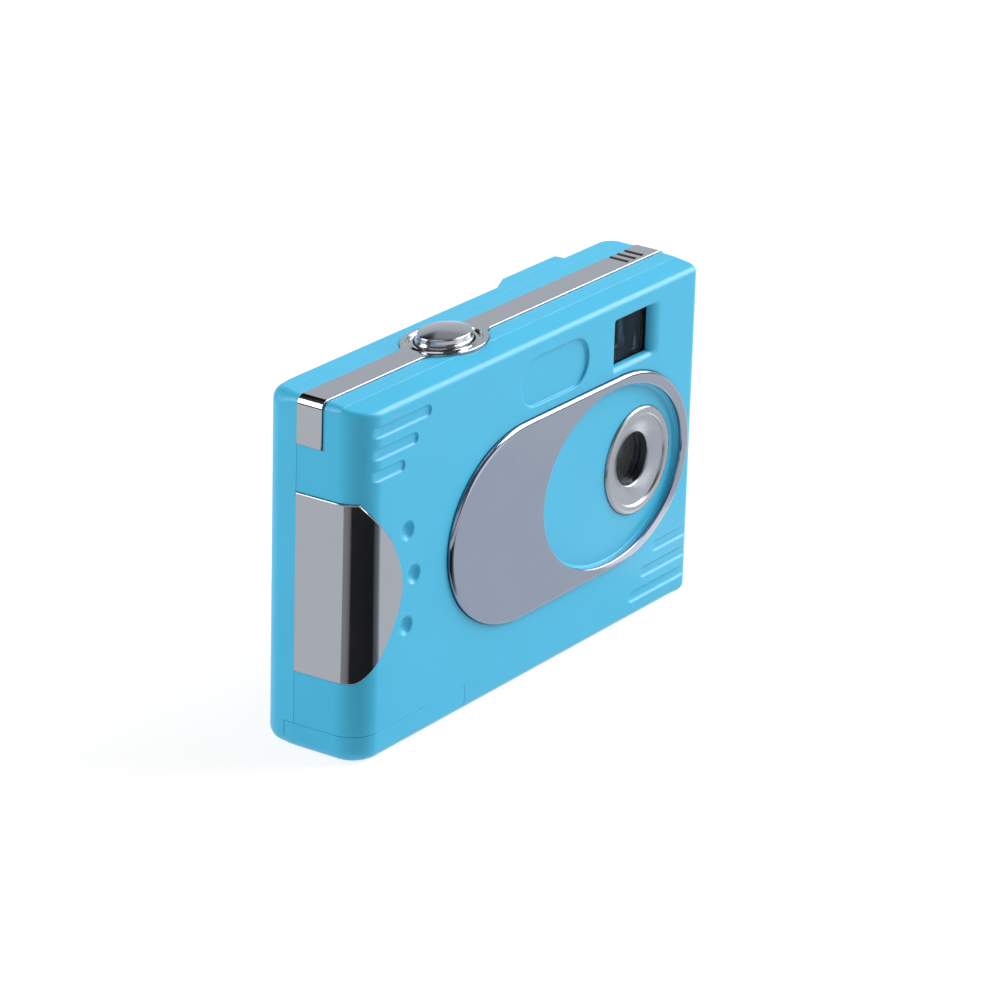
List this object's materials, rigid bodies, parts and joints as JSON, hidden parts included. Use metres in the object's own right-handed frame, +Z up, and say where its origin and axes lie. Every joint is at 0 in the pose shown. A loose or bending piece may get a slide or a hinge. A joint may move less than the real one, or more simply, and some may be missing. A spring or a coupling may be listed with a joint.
{
  "type": "waterproof digital camera",
  "caption": "Compact waterproof digital camera with sealed two-part case, lens, optical finder, shutter button, battery door and rear display.",
  "frame": {"origin": "bottom centre of the bounding box, on the surface the camera stands on", "axes": "+X along the width to the viewer's right when facing the lens, -Y out of the front face, +Z up"},
  "size_m": [0.0924, 0.0216, 0.0605],
  "materials": {
    "cover_blue": "semi-gloss moulded ABS",
    "bright_chrome": "polished chrome plating on plastic",
    "face_chrome": "polished plated plate, bevelled edge",
    "satin_metal": "satin",
    "clear_window": "clear polished plastic",
    "display_glass": "dark polished window",
    "lens_glass": "coated glass",
    "black_plastic": "matt black",
    "seal_rubber": "silicone rubber",
    "cover_rubber": "moulded rubber in the case colour",
    "steel": "nickel plated",
    "contact_metal": "nickel plated spring metal",
    "tray_plastic": "moulded",
    "cell_wrap": "plain sleeve",
    "board_green": "glass fibre board",
    "chip_black": "moulded package",
    "display_dark": "panel",
    "key_grey": "silver plastic key"
  },
  "bodies": {
    "camera_body": {"front_cover": "cover_blue", "rear_cover": "cover_blue", "top_strip": "bright_chrome", "grip_plate": "bright_chrome", "face_plate": "face_chrome", "lens_ring": "satin_metal", "lens_window": "clear_window", "finder_front_window": "clear_window", "finder_eyepiece": "clear_window", "display_window": "display_glass", "front_lens": "lens_glass", "rear_lens": "lens_glass", "lens_barrel": "black_plastic", "lens_holder": "black_plastic", "lens_stop": "black_plastic", "finder_tube": "black_plastic", "board_link": "black_plastic", "buzzer": "black_plastic", "cover_gasket": "seal_rubber", "window_seal": "seal_rubber", "button_membrane": "seal_rubber", "door_hinge_pin": "steel", "usb_cover_pin": "steel", "case_screws": "steel", "usb_socket": "steel", "cell_spring": "steel", "cell_contact": "contact_metal", "spring_plate": "contact_metal", "battery_tray": "tray_plastic", "battery_cell_left": "cell_wrap", "battery_cell_right": "cell_wrap", "main_board": "board_green", "usb_board": "board_green", "switch_bracket": "board_green", "processor_chip": "chip_black", "memory_chip": "chip_black", "image_sensor": "chip_black", "rear_switches": "chip_black", "shutter_switch": "chip_black", "display_panel": "display_dark"},
    "shutter": {"shutter_button": "bright_chrome", "shutter_clip": "steel", "shutter_seal": "seal_rubber", "shutter_spring": "steel"},
    "up_key": {"up_button": "key_grey"},
    "menu_key": {"menu_button": "key_grey"},
    "down_key": {"down_button": "key_grey"},
    "power_key": {"power_button": "key_grey"},
    "door": {"battery_door": "cover_blue", "door_gasket": "seal_rubber", "door_contact": "contact_metal", "door_spring": "steel"},
    "side_cover": {"usb_cover": "cover_rubber"}
  },
  "joints": [
    {"name": "shutter_press", "type": "slide", "parent": "camera_body", "child": "shutter", "axis": [0, 0, -1], "range_m": [0, 0.0008], "stiffness_N_per_m": 1500, "springref_m": -0.0005, "deforming": ["shutter_spring"]},
    {"name": "up_press", "type": "slide", "parent": "camera_body", "child": "up_key", "axis": [0, -1, 0], "range_m": [0, 0.0007], "stiffness_N_per_m": 1200, "springref_m": -0.0004},
    {"name": "menu_press", "type": "slide", "parent": "camera_body", "child": "menu_key", "axis": [0, -1, 0], "range_m": [0, 0.0007], "stiffness_N_per_m": 1200, "springref_m": -0.0004},
    {"name": "down_press", "type": "slide", "parent": "camera_body", "child": "down_key", "axis": [0, -1, 0], "range_m": [0, 0.0007], "stiffness_N_per_m": 1200, "springref_m": -0.0004},
    {"name": "power_press", "type": "slide", "parent": "camera_body", "child": "power_key", "axis": [0, -1, 0], "range_m": [0, 0.0007], "stiffness_N_per_m": 1200, "springref_m": -0.0004},
    {"name": "door_hinge", "type": "hinge", "parent": "camera_body", "child": "door", "pos_m": [-0.03195, 0.0062, 0.0022], "axis": [1, 0, 0], "range_deg": [0, 100]},
    {"name": "side_cover_hinge", "type": "hinge", "parent": "camera_body", "child": "side_cover", "pos_m": [0.0453, -0.00605, 0.043], "axis": [0, 0, -1], "range_deg": [0, 90]}
  ]
}
